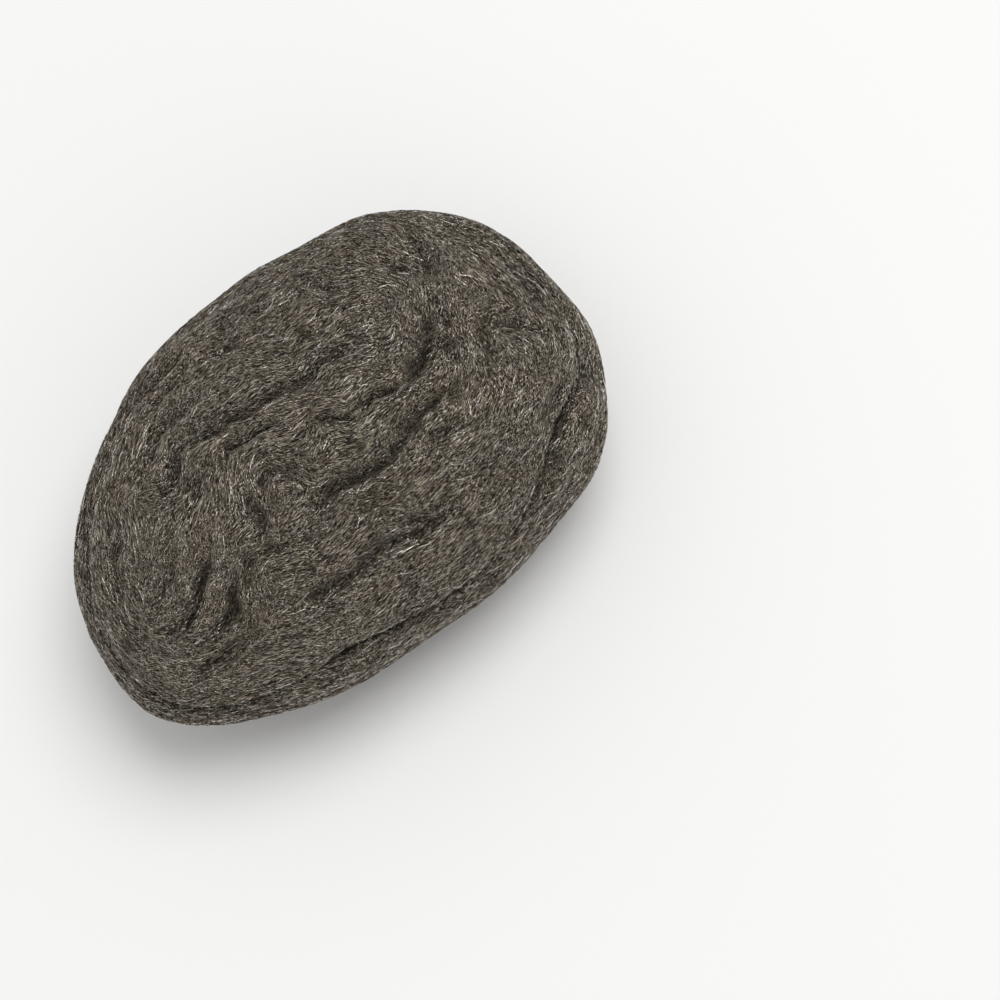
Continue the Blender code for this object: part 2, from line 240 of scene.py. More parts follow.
def curveThrough(points, step=0.4):
    # each stretch is the cubic that leaves and meets its points along their neighbours' chord
    p = np.array([points[0], *points, points[-1]], float)
    parts = []
    for a, b, c, d in zip(p[:-3], p[1:-2], p[2:-1], p[3:]):
        count = max(2, int(np.hypot(*(c - b)) / step))
        t = np.linspace(0, 1, count, endpoint=False)[:, None]
        bend = (2 * a - 5 * b + 4 * c - d) * t**2 + (3 * b - a - 3 * c + d) * t**3
        parts.append((2 * b + (c - a) * t + bend) / 2)
    line = np.concatenate([*parts, p[-1:]])
    along = np.concatenate([[0], np.cumsum(np.hypot(*np.diff(line, axis=0).T))])
    return line, along


def nearestOn(points, places):
    # for each place of the plan: distance to the curve in m, distance along it in m, and its direction there
    line, along = curveThrough(points)
    heading = np.gradient(line * square, axis=0)
    away = np.full(len(places), np.inf)
    near = np.zeros(len(places), int)
    for k, point in enumerate(line):
        gap = np.hypot(*((places - point) * square).T)
        closer = gap < away
        away[closer] = gap[closer]
        near[closer] = k
    fromEnd = np.minimum(along[near], along[-1] - along[near]) * square[0]
    return away, fromEnd, np.arctan2(heading[near, 1], heading[near, 0])


def outlineRadius(angle):
    # the ellipse 1/r^2 = (2cos/along)^2 + (2sin/across)^2, and bumps rise * exp(-(turn / spread)^2)
    # on it, in squares
    radius = 1 / np.hypot(np.cos(angle) * 2 / plan["along"], np.sin(angle) * 2 / plan["across"])
    for towards, spread, rise in plan["bumps"]:
        turn = (np.degrees(angle) - towards + 180) % 360 - 180
        radius = radius + rise * np.exp(-((turn / spread) ** 2))
    return radius


def smoothPad(out, angle):
    # reach = sin(out * 90 degrees) of the outline, and reach^shoulder + rise^2 = 1; out is 0 on top,
    # 1 at the widest and 2 underneath
    reach = np.sin(np.pi / 2 * np.minimum(out, 2 - out))
    rise = (1 - reach ** plan["shoulder"]) ** 0.5 * np.where(out > 1, -1, 1)
    radius = outlineRadius(angle) * reach
    x = radius * np.cos(angle) * square[0]
    y = radius * np.sin(angle) * square[1]
    return np.stack([x, y, padSize[2] + halfBody * (rise - 1)], axis=-1)


def valley(away, spread):
    # share * exp(-(sqrt(d^2 + f^2) - f) / crease) + (1 - share) * exp(-(d / hollow)^2)
    floor = folds["floor"]
    crease = np.exp((floor - np.hypot(away, floor)) / (folds["creaseWidth"] * spread))
    hollow = np.exp(-((away / (folds["hollowWidth"] * spread)) ** 2))
    return folds["creaseShare"] * crease + (1 - folds["creaseShare"]) * hollow


def foldRelief(places, lines):
    # depth of the deepest line, the highest lip, the painted shade of the creases, the lines' doubled
    # headings, and the distance of the nearest line
    nearest = np.full(len(places), np.inf)
    depth = np.zeros(len(places))
    paintedShade = np.zeros(len(places))
    lip = np.zeros(len(places))
    flow = np.zeros((len(places), 2))
    for share, spread, points in lines:
        away, fromEnd, heading = nearestOn(points, places)
        nearest = np.minimum(nearest, away)
        share = share * np.clip(fromEnd / folds["taper"] + folds["endShare"], 0, 1)
        depth = np.maximum(depth, share * folds["depth"] * valley(away, spread))
        # painted shade: the wool is darkened along the bottom of each crease
        paintedShade = np.maximum(paintedShade, share * np.exp(-((away / folds["paintedShadeWidth"]) ** 2)))
        beside = np.exp(-(((away - folds["lipAway"]) / folds["lipReach"]) ** 2))
        lip = np.maximum(lip, share * folds["lipRise"] * beside)
        weight = np.exp(-((away / flows["besideFold"]) ** 2))
        flow += weight[:, None] * np.stack([np.cos(2 * heading), np.sin(2 * heading)], axis=-1)
    return depth, lip, paintedShade, flow, nearest


def ribRise(out, angle, nearest):
    # height * (w * -cos(2pi * distance / spacing) + (1 - w) * -cos(pi * count * (out - seamOut) + sway)),
    # where the sway and the waves in the height keep the ribs from being even
    w = np.exp(-((nearest / ribs["followsFold"]) ** 2))
    alongFold = -np.cos(2 * np.pi * np.minimum(nearest, 1) / ribs["spacing"])  # inf where there is no fold
    sway = 0.6 * np.sin(2 * angle + 1) + 0.4 * np.sin(5 * angle)
    roundPad = -np.cos(np.pi * ribs["count"] * (out - ribs["seamOut"]) + sway)
    height = ribs["height"] * (0.7 + 0.3 * np.sin(3 * angle + 4 * out))
    shown = smoothShare(out, *ribs["fadeIn"]) * (1 - smoothShare(out, *ribs["fadeOut"]))
    return height * shown * (w * alongFold + (1 - w) * roundPad)


def latticeNoise(points, size, seed, numbers=8192):
    # value noise: random numbers on a cubic lattice of that size, joined by 3t^2 - 2t^3;
    # a corner's number is picked by its whole coordinates times three large primes
    values = np.random.default_rng(seed).random(numbers)
    cell = points / size
    low = np.floor(cell).astype(np.int64)
    t = cell - low
    t = t * t * (3 - 2 * t)
    total = 0
    for corner in np.ndindex(2, 2, 2):
        at = low + corner
        key = (at[..., 0] * 73856093) ^ (at[..., 1] * 19349663) ^ (at[..., 2] * 83492791)
        weight = np.prod(np.where(np.array(corner) == 1, t, 1 - t), axis=-1)
        total = total + weight * values[key % numbers]
    return total


# The matted body of the pad.
body = dict(
    rings=201,  # from the middle of the face to the middle of the underside
    spokes=476,
    turnSize=2.4 * mm,  # uneven turns of the strand
    turnLength=30 * mm,
    turnRise=0.08 * mm,
    twistSize=1.2 * mm,  # finer twists on them
    twistLength=18 * mm,
    twistRise=0.04 * mm,
    lockSize=0.8 * mm,  # finest locks of wool, brighter and duller in turn
    lockLength=10 * mm,
    lockRise=0.01 * mm,
    tone=0.01,  # brightening by each of the three where it raises the wool and darkening where it sinks it: partly the strand's own tone, partly painted shade in its grooves
    creasePaintedShade=0.22,  # painted shade in the creases and the seam, at its darkest
    fill=0.8,  # how full the padding is
)

outLine = np.linspace(0, 2, body["rings"])
angleLine = np.linspace(-np.pi, np.pi, body["spokes"], endpoint=False)
outGrid, angleGrid = np.meshgrid(outLine, angleLine, indexing="ij")


def gridNormals(points):
    # cross product of the two grid directions, by central differences
    down = np.gradient(points, axis=0)
    roundIt = np.roll(points, -1, axis=1) - np.roll(points, 1, axis=1)
    normal = np.cross(down, roundIt)
    normal[0] = [0, 0, 1]
    normal[-1] = [0, 0, -1]
    return normal / np.linalg.norm(normal, axis=-1)[..., None]


def padGrid():
    # points, strand headings and painted shade of the creases and the seam on the grid of rings and spokes
    points = smoothPad(outGrid, angleGrid)
    normal = gridNormals(points)
    places = (points[..., :2] / square).reshape(-1, 2)
    out = outGrid.ravel()
    angle = angleGrid.ravel()
    face = 1 - smoothShare(out, *plan["faceEnds"])
    under = smoothShare(out, *plan["undersideStarts"])
    depth, lip, paintedShade, flow, nearest = foldRelief(places, faceLines)
    underDepth, _, underPaintedShade, underFlow, _ = foldRelief(places, undersideLines)
    sunk = face * (depth - lip) + under * underDepth
    towards, rise, share = np.array(seam["course"], float).T
    height = seam["height"] * padSize[2] + np.interp(np.degrees(angle), towards, rise) * square[0]
    share = np.interp(np.degrees(angle), towards, share)
    aside = points[..., 2].ravel() - height
    groove = share * seam["depth"] * valley(aside, seam["spread"])
    # painted shade: the wool is darkened along the bottom of the seam
    seamPaintedShade = share * np.exp(-((aside / folds["paintedShadeWidth"]) ** 2))
    paintedShade = np.maximum(np.maximum(face * paintedShade, under * underPaintedShade), seamPaintedShade)
    raised = ribRise(out, angle, np.where(out < 1, nearest, np.inf))
    for x, y, radius, lift in faceSwells:
        swell = np.exp(-((places - [x, y]) ** 2).sum(axis=1) / radius**2)
        raised = raised + face * lift * square[0] * swell
    sunk = np.maximum(sunk, groove) - raised
    # headings are kept as the cosine and sine of twice the angle, so that both ways along are the same
    reach = np.sin(np.pi / 2 * np.minimum(out, 2 - out))
    roundIt = np.arctan2(places[:, 0] / plan["along"] ** 2, -places[:, 1] / plan["across"] ** 2)
    roundWeight = flows["roundMiddle"] * reach + flows["roundSide"] * smoothShare(reach, *flows["sideFrom"])
    headings = np.stack([np.cos(2 * roundIt), np.sin(2 * roundIt)], axis=-1) * roundWeight[:, None]
    headings += face[:, None] * flow + under[:, None] * underFlow
    headings[:, 0] += flows["lengthways"] * (1 - reach)
    shape = outGrid.shape
    points = points - normal * sunk.reshape(shape)[..., None]
    return points, headings.reshape(*shape, 2), paintedShade.reshape(shape)


def strandDirection(headings, normal):
    # the heading in the plan, laid onto the surface
    angle = np.arctan2(headings[..., 1], headings[..., 0]) / 2
    direction = np.stack([np.cos(angle), np.sin(angle), np.zeros_like(angle)], axis=-1)
    direction -= normal * (direction * normal).sum(axis=-1)[..., None]
    return direction / np.maximum(np.linalg.norm(direction, axis=-1)[..., None], 1e-9)


padPoints, padHeadings, padPaintedShade = padGrid()

# moved and scaled so that the body fills the pad's box, as the solid does
padPoints[..., 2] = np.maximum(padPoints[..., 2], 0)
gridLow = padPoints.reshape(-1, 3).min(axis=0)
gridHigh = padPoints.reshape(-1, 3).max(axis=0)
gridScale = padSize / (gridHigh - gridLow)
gridMiddle = (gridLow + gridHigh) / 2 * [1, 1, 0]
boxMiddle = (padLow + padHigh) / 2 * [1, 1, 0]
padPoints = (padPoints - gridMiddle) * gridScale + boxMiddle
padNormals = gridNormals(padPoints)


def sampleGrid(values, out, angle):
    # the grid's values between its rings and spokes, weighted by nearness
    row = np.clip(out / 2 * (len(outLine) - 1), 0, len(outLine) - 1.001)
    column = (angle + np.pi) / (2 * np.pi) * len(angleLine)
    i = row.astype(int)
    j = np.floor(column).astype(int)
    a = (row - i)[:, None]
    b = (column - j)[:, None]
    j0 = j % len(angleLine)
    j1 = (j + 1) % len(angleLine)
    upper = values[i, j0] * (1 - b) + values[i, j1] * b
    lower = values[i + 1, j0] * (1 - b) + values[i + 1, j1] * b
    return upper * (1 - a) + lower * a


def placeOnPad(points):
    # the ring and spoke coordinates of points near the pad, seen from its middle
    flat = (points - boxMiddle) / gridScale + gridMiddle
    x = flat[:, 0] / square[0]
    y = flat[:, 1] / square[1]
    angle = np.arctan2(y, x)
    reach = np.hypot(x, y) / outlineRadius(angle)
    rise = (flat[:, 2] - padSize[2]) / halfBody + 1
    lean = np.arctan2(reach ** (plan["shoulder"] / 2), rise)
    out = np.arcsin(np.clip(np.sin(lean), 0, 1) ** (2 / plan["shoulder"])) * 2 / np.pi
    return np.where(rise < 0, 2 - out, out), angle


def strandAt(field, points, before):
    # the nearest point of the pad, its normal, and the strand's direction there, kept facing onward
    here = sampleGrid(field, *placeOnPad(points))
    normal = here[:, 3:6] / np.linalg.norm(here[:, 3:6], axis=1)[:, None]
    direction = strandDirection(here[:, 6:8], normal)
    direction *= np.where((direction * before).sum(axis=1) < 0, -1, 1)[:, None]
    return here[:, :3], normal, direction


def combedNoise(field, size, length, seed, steps=8):
    # lattice noise averaged along the strand, which leaves ribs of that size and length
    total = latticeNoise(field[..., :3].reshape(-1, 3), size, seed)
    for way in (-1.0, 1.0):
        here = field[..., :3].reshape(-1, 3)
        direction = way * strandDirection(field[..., 6:8], field[..., 3:6]).reshape(-1, 3)
        for k in range(steps):
            here, _, direction = strandAt(field, here + direction * length / 2 / steps, direction)
            total = total + latticeNoise(here, size, seed)
    total = (total - total.mean()) / total.std()
    return total.reshape(field.shape[:2])


padField = np.concatenate([padPoints, padNormals, padHeadings], axis=-1)
turns = combedNoise(padField, body["turnSize"], body["turnLength"], 3)
twists = combedNoise(padField, body["twistSize"], body["twistLength"], 5)
locks = combedNoise(padField, body["lockSize"], body["lockLength"], 7)
padRelief = body["turnRise"] * turns + body["twistRise"] * twists + body["lockRise"] * locks
# the tone: painted shade darkens the creases and the seam, and the turns, twists and locks lighten raised
# wool and darken the grooves, partly own tone and partly painted shade
padToneAndPaintedShade = body["tone"] * (turns + twists + locks) - body["creasePaintedShade"] * padPaintedShade
padPoints = padPoints + padNormals * padRelief[..., None]
padPoints[..., 2] = np.maximum(padPoints[..., 2], 0)
padNormals = gridNormals(padPoints)
padField = np.concatenate([padPoints, padNormals, padHeadings, padToneAndPaintedShade[..., None]], axis=-1)
print("pad worked out on", padPoints.shape[0], "rings of", padPoints.shape[1])


def linearColour(code):
    # an sRGB hex code as linear red, green, blue, alpha
    parts = np.array([int(code[k : k + 2], 16) / 255 for k in (0, 2, 4)])
    parts = np.where(parts > 0.04045, ((parts + 0.055) / 1.055) ** 2.4, parts / 12.92)
    return (*parts.tolist(), 1.0)


def addNode(tree, kind, settings=None, **links):
    # a node with its settings, and its inputs set to values or linked from (node, output) pairs;
    # an input is given by its name, or as _ and its number
    node = tree.nodes.new(kind)
    for name, value in (settings or {}).items():
        setattr(node, name, value)
    for name, value in links.items():
        socket = node.inputs[int(name[1:])] if name[0] == "_" else node.inputs[name.replace("_", " ")]
        if isinstance(value, tuple) and isinstance(value[0], bpy.types.Node):
            tree.links.new(value[0].outputs[value[1]], socket)
        else:
            socket.default_value = value
    return node


def newMaterial(name):
    # a material with its node tree and its main shader
    material = bpy.data.materials.new(name)
    material.use_nodes = True
    tree = material.node_tree
    return material, tree, tree.nodes["Principled BSDF"]


def toneRamp(tree, source, stops):
    # colours along a tone, as pairs of place and hex code
    ramp = addNode(tree, "ShaderNodeValToRGB", _0=source)
    while len(ramp.color_ramp.elements) < len(stops):
        ramp.color_ramp.elements.new(0.5)
    for element, (place, code) in zip(ramp.color_ramp.elements, stops):
        element.position = place
        element.color = linearColour(code)
    return ramp


# Low-carbon steel shaved into wool and matted: fine grey streaks over dark gaps, whose dark is painted shade
# between the fibres.
# Real fibres are about 0.03 mm wide, too fine to show, so the streaks are drawn 0.08 mm wide.
matted = dict(
    streakWidth=0.08 * mm,
    streakLength=1.8 * mm,
    wander=0.35,  # how much the streaks weave
    directions=6,  # fixed directions in the plan that the streaks are blended from
    patchSize=8 * mm,  # of the browner and the greyer patches
    # the gap colour is painted shade deep between the fibres
    gap="1d1814",
    middle="655b4c",
    crest="cdc3b2",
    brown="7d6a55",
    grey="6e6d6a",
    tint=0.35,
    contrast=(0.43, 0.6),  # of the noise, from a gap to a crest
    bumpStrength=0.9,
    bumpDepth=0.12 * mm,
    metallic=0.5,  # half is metal, half is the painted shade between the fibres
    roughness=0.5,
)


def streaksAlong(tree, place):
    # noise stretched in each fixed direction, weighted by how near the strand's heading is to it
    heading = addNode(tree, "ShaderNodeAttribute", dict(attribute_name="heading"))
    total = None
    weights = None
    for k in range(matted["directions"]):
        angle = math.pi * k / matted["directions"]
        size = (matted["streakLength"], matted["streakWidth"], matted["streakWidth"])
        spot = addNode(
            tree,
            "ShaderNodeMapping",
            dict(vector_type="TEXTURE"),
            Vector=(place, "Object"),
            Rotation=(0.0, 0.0, angle),
            Scale=size,
        )
        noise = addNode(
            tree,
            "ShaderNodeTexNoise",
            Vector=(spot, "Vector"),
            Scale=1.0,
            Detail=1.0,
            Distortion=matted["wander"],
        )
        match = addNode(
            tree,
            "ShaderNodeVectorMath",
            dict(operation="DOT_PRODUCT"),
            _0=(heading, "Vector"),
            _1=(math.cos(2 * angle), math.sin(2 * angle), 0.0),
        )
        match = addNode(tree, "ShaderNodeMath", dict(operation="MAXIMUM"), _0=(match, "Value"), _1=0.0)
        match = addNode(tree, "ShaderNodeMath", dict(operation="POWER"), _0=(match, "Value"), _1=4.0)
        part = addNode(
            tree, "ShaderNodeMath", dict(operation="MULTIPLY"), _0=(match, "Value"), _1=(noise, "Fac")
        )
        if total is None:
            total, weights = part, match
            continue
        total = addNode(
            tree, "ShaderNodeMath", dict(operation="ADD"), _0=(total, "Value"), _1=(part, "Value")
        )
        weights = addNode(
            tree, "ShaderNodeMath", dict(operation="ADD"), _0=(weights, "Value"), _1=(match, "Value")
        )
    return addNode(
        tree, "ShaderNodeMath", dict(operation="DIVIDE"), _0=(total, "Value"), _1=(weights, "Value")
    )


def patchTint(tree, place, colour):
    # browner and greyer patches, laid over a colour
    broad = addNode(
        tree, "ShaderNodeTexNoise", Vector=(place, "Object"), Scale=1 / matted["patchSize"], Detail=2.0,
        Roughness=0.5,
    )
    tint = toneRamp(tree, (broad, "Fac"), [(0.38, matted["brown"]), (0.62, matted["grey"])])
    return addNode(
        tree,
        "ShaderNodeMix",
        dict(data_type="RGBA", blend_type="SOFT_LIGHT"),
        _0=matted["tint"],
        _6=colour,
        _7=(tint, "Color"),
    )


def mattedWool():
    material, tree, shader = newMaterial("steelWoolMatted")
    place = addNode(tree, "ShaderNodeTexCoord")
    tone = addNode(tree, "ShaderNodeAttribute", dict(attribute_name="tone"))
    streaks = streaksAlong(tree, place)
    spread = addNode(
        tree,
        "ShaderNodeMapRange",
        Value=(streaks, "Value"),
        From_Min=matted["contrast"][0],
        From_Max=matted["contrast"][1],
    )
    shade = addNode(
        tree,
        "ShaderNodeMath",
        dict(operation="ADD", use_clamp=True),
        _0=(spread, "Result"),
        _1=(tone, "Fac"),
    )
    ramp = toneRamp(
        tree, (shade, "Value"), [(0.2, matted["gap"]), (0.55, matted["middle"]), (0.95, matted["crest"])]
    )
    tinted = patchTint(tree, place, (ramp, "Color"))
    tree.links.new(tinted.outputs[2], shader.inputs["Base Color"])
    shader.inputs["Metallic"].default_value = matted["metallic"]
    shader.inputs["Roughness"].default_value = matted["roughness"]
    bump = addNode(
        tree,
        "ShaderNodeBump",
        Strength=matted["bumpStrength"],
        Distance=matted["bumpDepth"],
        Height=(spread, "Result"),
    )
    tree.links.new(bump.outputs["Normal"], shader.inputs["Normal"])
    return material


def fillMesh(name, points, faces, tone, material):
    # a smooth piece of the pad, with a tone at each point
    mesh = bpy.data.meshes.new(name)
    mesh.from_pydata(points.tolist(), [], faces)
    mesh.polygons.foreach_set("use_smooth", np.ones(len(mesh.polygons), bool))
    values = mesh.attributes.new("tone", "FLOAT", "POINT")
    values.data.foreach_set("value", tone.astype(np.float32))
    mesh.materials.append(material)
    piece = bpy.data.objects.new(name, mesh)
    bpy.context.collection.objects.link(piece)
    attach(piece, "root")
    return piece


def ringFaces(rings, spokes):
    # squares between neighbouring rings, and a fan of triangles round each of the two poles
    start = 1 + np.arange(rings - 1)[:, None] * spokes
    here = np.arange(spokes)[None, :]
    after = (here + 1) % spokes
    squares = np.stack(
        [start + here, start + spokes + here, start + spokes + after, start + after], axis=-1
    ).reshape(-1, 4)
    last = 1 + rings * spokes
    top = np.stack([np.zeros(spokes, int), 1 + here[0], 1 + after[0]], axis=-1)
    bottom = np.stack([np.full(spokes, last), last - spokes + after[0], last - spokes + here[0]], axis=-1)
    return squares.tolist() + top.tolist() + bottom.tolist()


def makeBody():
    # the grid of rings and spokes as one closed mesh, with the strand's heading at each point
    inner = padPoints[1:-1].reshape(-1, 3)
    points = np.concatenate([padPoints[0].mean(axis=0)[None], inner, padPoints[-1].mean(axis=0)[None]])
    tone = np.concatenate([[padToneAndPaintedShade[0].mean()], padToneAndPaintedShade[1:-1].ravel(), [padToneAndPaintedShade[-1].mean()]])
    faces = ringFaces(len(outLine) - 2, len(angleLine))
    piece = fillMesh("woolBody", points, faces, tone, mattedWool())
    headings = padHeadings / np.linalg.norm(padHeadings, axis=-1)[..., None]
    headings = np.concatenate([headings[0, :1], headings[1:-1].reshape(-1, 2), headings[-1, :1]])
    headings = np.concatenate([headings, np.zeros((len(headings), 1))], axis=-1)
    attribute = piece.data.attributes.new("heading", "FLOAT_VECTOR", "POINT")
    attribute.data.foreach_set("vector", headings.astype(np.float32).ravel())
    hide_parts("steel_wool_pad")
    return piece


woolBody = makeBody()
print("body made,", len(woolBody.data.polygons), "faces")


# Separate fibres. Each kind has a count, a number of knots along a fibre, its length, how far a fibre
# strays from the strand's heading and curls at each knot in degrees, and its lift over the body.
# The fibres are drawn two to three times as thick as real ones, so that they show.
fibreKinds = {
    "woolCombedFibres": dict(
        seed=11, count=11000, knots=5, length=(3 * mm, 6.5 * mm), stray=5, curl=12,
        lift=(-0.02 * mm, 0.1 * mm), brightShare=0.14,
    ),
    "woolShortFibres": dict(
        seed=12, count=33000, knots=3, length=(1.6 * mm, 3.2 * mm), stray=9, curl=14,
        lift=(0.0, 0.1 * mm), brightShare=0.14,
    ),
    "woolTuftFibres": dict(
        seed=13, count=33000, knots=3, length=(1.2 * mm, 2.6 * mm), stray=15, curl=18,
        lift=(0.02 * mm, 0.13 * mm), brightShare=0.17,
    ),
    "woolGlintFibres": dict(
        seed=14, count=33000, knots=3, length=(0.8 * mm, 1.8 * mm), stray=18, curl=18,
        lift=(0.04 * mm, 0.14 * mm), brightShare=0.2,
    ),
}
# Bright fibres have tones at the top of the ramp, paler than steel: painted glints. brightShare is the share
# of them.
glintPaintedFibre = dict(radius=0.042 * mm, tones=(1.0, 1.6))
dullFibre = dict(radius=0.034 * mm, tones=(0.0, 0.66))
paintedGlintAlong = dict(length=1.0 * mm, tone=0.3)  # painted glints: a fibre's tone rises and falls in turn along it, where its twist would catch the light
underside = dict(starts=1.45, share=0.35)  # of the fibres' density, where the pad lies
endTuck = 0.1 * mm  # how far a fibre's ends go down into the body
overTable = 0.02 * mm  # the least height of a fibre


def scatterOnPad(rng, count):
    # places spread evenly over the pad's area, thinner underneath
    right = np.roll(padPoints, -1, axis=1)[:-1] - padPoints[:-1]
    down = padPoints[1:] - padPoints[:-1]
    area = np.linalg.norm(np.cross(right, down), axis=-1)
    area *= np.where(outGrid[:-1] > underside["starts"], underside["share"], 1)
    total = np.cumsum(area.ravel())
    pick = np.searchsorted(total, (np.arange(count) + rng.random(count)) / count * total[-1])
    i, j = np.unravel_index(pick, area.shape)
    out = (i + rng.random(count)) / (len(outLine) - 1) * 2
    angle = (j + rng.random(count)) / len(angleLine) * 2 * np.pi - np.pi
    return out, angle


def turnAbout(direction, normal, angle):
    # direction * cos(angle) + (normal x direction) * sin(angle), for directions square to the normal
    return direction * np.cos(angle)[:, None] + np.cross(normal, direction) * np.sin(angle)[:, None]


def walkFibres(rng, kind):
    # steps along the strand's heading, turned aside by each fibre's own stray and curl
    count, knots = kind["count"], kind["knots"]
    stray = np.radians(kind["stray"]) * rng.standard_normal(count)
    curl = np.radians(kind["curl"]) * rng.standard_normal((knots, count))
    step = rng.uniform(*kind["length"], count) / (knots - 1)
    start = sampleGrid(padField, *scatterOnPad(rng, count))[:, :3]
    here, normal, direction = strandAt(padField, start, rng.standard_normal((count, 3)))
    # the pad's tone under the fibre's start, with the painted shade of its creases and seam
    shade = sampleGrid(padField, *placeOnPad(start))[:, 8]
    path = [(here, normal)]
    for k in range(1, knots):
        stray = stray + curl[k]
        ahead = here + turnAbout(direction, normal, stray) * step[:, None]
        here, normal, direction = strandAt(padField, ahead, direction)
        path.append((here, normal))
    lines = np.stack([point for point, _ in path], axis=1)
    normals = np.stack([normal for _, normal in path], axis=1)
    low, high = kind["lift"]
    wave = rng.random((count, knots))
    ends = np.abs(np.linspace(-1, 1, knots)) ** 3
    lift = low + (high - low) * wave - ends * endTuck
    return lines + normals * lift[..., None], normals, shade


def needlePattern(knots):
    # triangles of one needle: a fan at each end, and two triangles for each side between its rings
    last = 3 * (knots - 2) + 1
    faces = []
    for a, b in ((0, 1), (1, 2), (2, 0)):
        faces.append((0, 1 + a, 1 + b))
        for ring in range(1, last - 3, 3):
            faces.append((ring + a, ring + 3 + a, ring + 3 + b))
            faces.append((ring + a, ring + 3 + b, ring + b))
        faces.append((last, last - 3 + b, last - 3 + a))
    return np.array(faces)


def needlesAlong(lines, normals, radius):
    # a point at each end of the path, and a triangle square to the path at every knot between them
    count, knots, _ = lines.shape
    ahead = np.gradient(lines, axis=1)
    ahead /= np.linalg.norm(ahead, axis=-1)[..., None]
    side = np.cross(ahead, normals)
    side /= np.maximum(np.linalg.norm(side, axis=-1)[..., None], 1e-9)
    up = np.cross(side, ahead)
    turn = np.radians([90, 210, 330])[:, None]
    spread = side[:, 1:-1, None] * np.cos(turn) + up[:, 1:-1, None] * np.sin(turn)
    rings = lines[:, 1:-1, None] + spread * radius[:, None, None, None]
    points = np.concatenate([lines[:, :1], rings.reshape(count, -1, 3), lines[:, -1:]], axis=1)
    first = np.arange(count) * points.shape[1]
    faces = first[:, None, None] + needlePattern(knots)
    return points.reshape(-1, 3), faces.reshape(-1, 3)


# A single steel fibre: shaved low-carbon steel, smooth on the cut and dulled by oil and rubbing. The palest
# colours of its ramp, paler than steel, are painted glints.
fibreSteel = dict(
    stops=[(0.0, "1f1a15"), (0.3, "5a5145"), (0.6, "a89d8d"), (0.85, "e2dbcd"), (1.0, "f8f4ec")],
    metallic=0.95,
    polishedFrom=0.3,  # tone at which the roughness starts to fall
    roughness=(0.42, 0.14),  # of a dull fibre, and of a bright one
)


def steelFibre():
    material, tree, shader = newMaterial("steelFibreShaved")
    place = addNode(tree, "ShaderNodeTexCoord")
    tone = addNode(tree, "ShaderNodeAttribute", dict(attribute_name="tone"))
    along = addNode(tree, "ShaderNodeAttribute", dict(attribute_name="along"))
    # painted glints along the fibre, from the distance along it
    paintedGlintNoise = addNode(
        tree, "ShaderNodeTexNoise", dict(noise_dimensions="1D"), W=(along, "Fac"), Scale=1.0, Detail=0.0
    )
    paintedGlintNoise = addNode(
        tree,
        "ShaderNodeMapRange",
        Value=(paintedGlintNoise, "Fac"),
        From_Min=0.3,
        From_Max=0.7,
        To_Min=-paintedGlintAlong["tone"],
        To_Max=paintedGlintAlong["tone"],
    )
    shade = addNode(
        tree, "ShaderNodeMath", dict(operation="ADD"), _0=(tone, "Fac"), _1=(paintedGlintNoise, "Result")
    )
    ramp = toneRamp(tree, (shade, "Value"), fibreSteel["stops"])
    tinted = patchTint(tree, place, (ramp, "Color"))
    tree.links.new(tinted.outputs[2], shader.inputs["Base Color"])
    shader.inputs["Metallic"].default_value = fibreSteel["metallic"]
    polish = addNode(
        tree,
        "ShaderNodeMapRange",
        Value=(shade, "Value"),
        From_Min=fibreSteel["polishedFrom"],
        From_Max=1.0,
        To_Min=fibreSteel["roughness"][0],
        To_Max=fibreSteel["roughness"][1],
    )
    tree.links.new(polish.outputs["Result"], shader.inputs["Roughness"])
    return material


fibreMaterial = steelFibre()
for name, kind in fibreKinds.items():
    rng = np.random.default_rng(kind["seed"])
    lines, normals, shade = walkFibres(rng, kind)
    # bright fibres carry painted glints
    isBright = rng.random(kind["count"]) < kind["brightShare"]
    radius = np.where(isBright, glintPaintedFibre["radius"], dullFibre["radius"])
    radius = radius * rng.uniform(0.75, 1.25, kind["count"])
    points, faces = needlesAlong(lines, normals, radius)
    points[:, 2] = np.maximum(points[:, 2], overTable)
    brightTone = rng.uniform(*glintPaintedFibre["tones"], kind["count"])
    dullTone = rng.uniform(*dullFibre["tones"], kind["count"])
    repeats = [1, *[3] * (kind["knots"] - 2), 1]  # points at each knot
    # the fibre's tone: painted glints or a dull tone, plus the painted shade taken from the pad
    tone = np.repeat(np.where(isBright, brightTone, dullTone) + shade, sum(repeats))
    piece = fillMesh(name, points, faces.tolist(), tone, fibreMaterial)
    steps = np.linalg.norm(np.diff(lines, axis=1), axis=-1) / paintedGlintAlong["length"]
    along = rng.uniform(0, 1000, (kind["count"], 1)) + np.cumsum(np.insert(steps, 0, 0, axis=1), axis=1)
    along = np.repeat(along, repeats, axis=1)
    values = piece.data.attributes.new("along", "FLOAT", "POINT")
    values.data.foreach_set("value", along.astype(np.float32).ravel())
    print(name, kind["count"], "fibres,", len(faces), "triangles")


# The table: plain, pale and matt.
table = dict(colour="f6f6f5", roughness=0.9, size=4.0)


def makeTable():
    half = table["size"] / 2
    corners = [(-half, -half, 0), (half, -half, 0), (half, half, 0), (-half, half, 0)]
    mesh = bpy.data.meshes.new("tableTop")
    mesh.from_pydata(corners, [], [(0, 1, 2, 3)])
    material, tree, shader = newMaterial("tablePaintMatt")
    shader.inputs["Base Color"].default_value = linearColour(table["colour"])
    shader.inputs["Roughness"].default_value = table["roughness"]
    mesh.materials.append(material)
    piece = bpy.data.objects.new("tableTop", mesh)
    bpy.context.collection.objects.link(piece)
    return piece


makeTable()

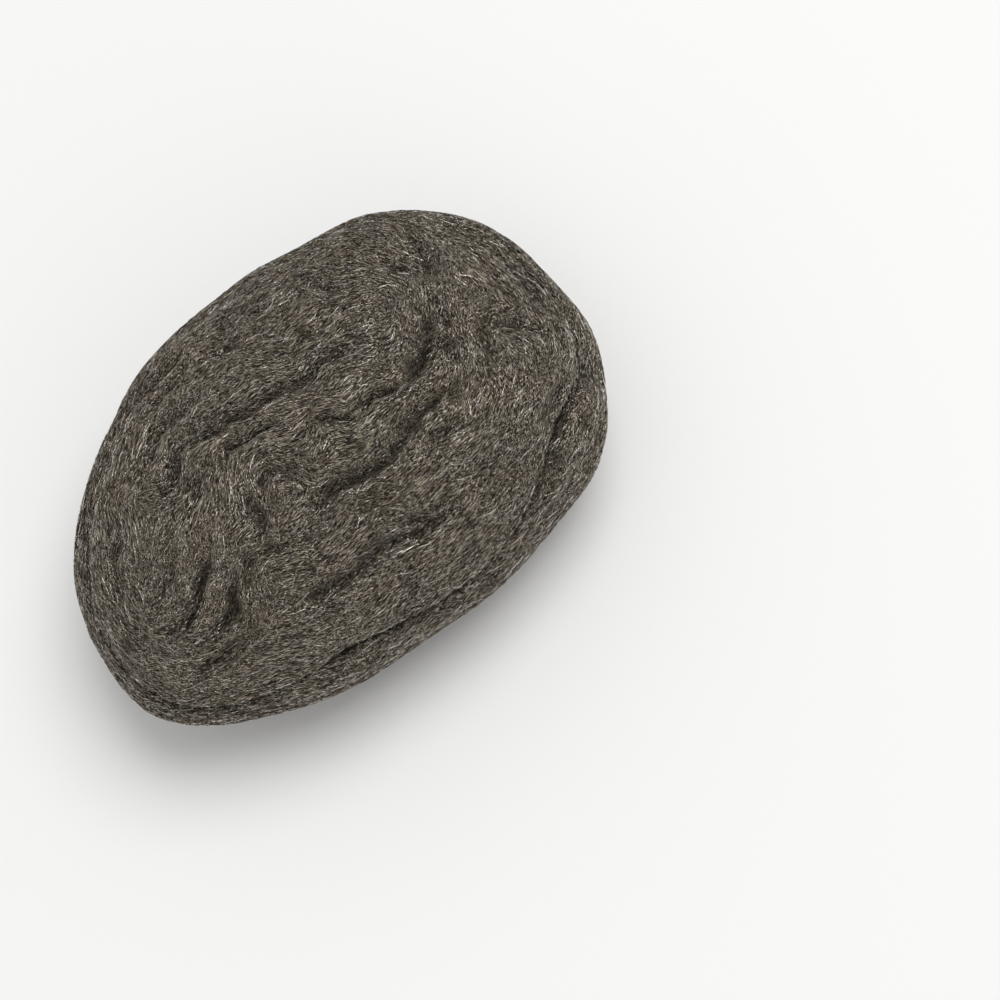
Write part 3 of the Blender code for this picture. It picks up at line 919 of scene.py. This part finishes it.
# The camera looks down on the face, leaning towards the pad's near side, and is rolled over.
photoView = dict(
    lean=22,  # degrees off the straight view of the face
    shownSide=(0.45, -0.89),  # where the pad's side shows in the picture, right and up
    roll=42,  # rise of the pad's length in the picture, in degrees
    lens=100,
    picture=1000,  # pixels across
    middle=(324, 464.3),  # where the pad's middle falls, in pixels
    lengthShown=593.5,  # pixels that the pad's length covers
    sensor=36,
)


def placeInScene(thing, axes, place):
    # a camera or lamp with its own three axes turned to those and its origin at that place
    rows = [[*(axis[k] for axis in axes), place[k]] for k in range(3)]
    thing.matrix_world = Matrix([*rows, [0, 0, 0, 1]])
    bpy.context.collection.objects.link(thing)


def aimCamera():
    # face and lengthways are the pad's own +Z and +X as the camera sees them: right, up and towards it
    lean = math.radians(photoView["lean"])
    right, up = np.array(photoView["shownSide"]) / np.hypot(*photoView["shownSide"])
    face = np.array([-math.sin(lean) * right, -math.sin(lean) * up, math.cos(lean)])
    roll = math.radians(photoView["roll"])
    lengthways = np.array([math.cos(roll), math.sin(roll), 0])
    lengthways[2] = -(lengthways @ face) / face[2]
    lengthways /= np.linalg.norm(lengthways)
    turned = np.array([lengthways, np.cross(face, lengthways), face])
    pixel = padSize[0] / photoView["lengthShown"]
    away = photoView["lens"] / photoView["sensor"] * photoView["picture"] * pixel
    aside = (photoView["middle"][0] - photoView["picture"] / 2) * pixel
    above = (photoView["picture"] / 2 - photoView["middle"][1]) * pixel
    middle = (padLow + padHigh) / 2
    place = middle - turned @ [aside, above, -away]
    camera = bpy.data.objects.new("photoCamera", bpy.data.cameras.new("photoCamera"))
    camera.data.lens = photoView["lens"]
    camera.data.sensor_width = photoView["sensor"]
    placeInScene(camera, turned.T, place)
    bpy.context.scene.camera = camera
    return turned, middle


turned, padMiddle = aimCamera()

# Soft studio light. Each lamp: direction in the picture (right, up, towards the camera), size, watts.
lamps = {
    "softKey": dict(towards=(0.18, 0.68, 1.0), distance=2.0, size=1.5, watts=21),
    "softFill": dict(towards=(0.5, -0.9, 0.9), distance=2.0, size=1.5, watts=3),
}
skyStrength = 0.58

for name, lamp in lamps.items():
    direction = turned @ (np.array(lamp["towards"]) / np.linalg.norm(lamp["towards"]))
    light = bpy.data.objects.new(name, bpy.data.lights.new(name, "AREA"))
    light.data.shape = "DISK"
    light.data.size = lamp["size"]
    light.data.energy = lamp["watts"]
    place = padMiddle + direction * lamp["distance"]
    side = np.cross([0, 1, 0], direction)
    side /= np.linalg.norm(side)
    placeInScene(light, [side, np.cross(direction, side), direction], place)

world = bpy.data.worlds.new("studio")
world.use_nodes = True
world.node_tree.nodes["Background"].inputs["Color"].default_value = linearColour("ffffff")
world.node_tree.nodes["Background"].inputs["Strength"].default_value = skyStrength
bpy.context.scene.world = world
bpy.context.scene.view_settings.view_transform = "Standard"
print("table, camera and lamps placed")
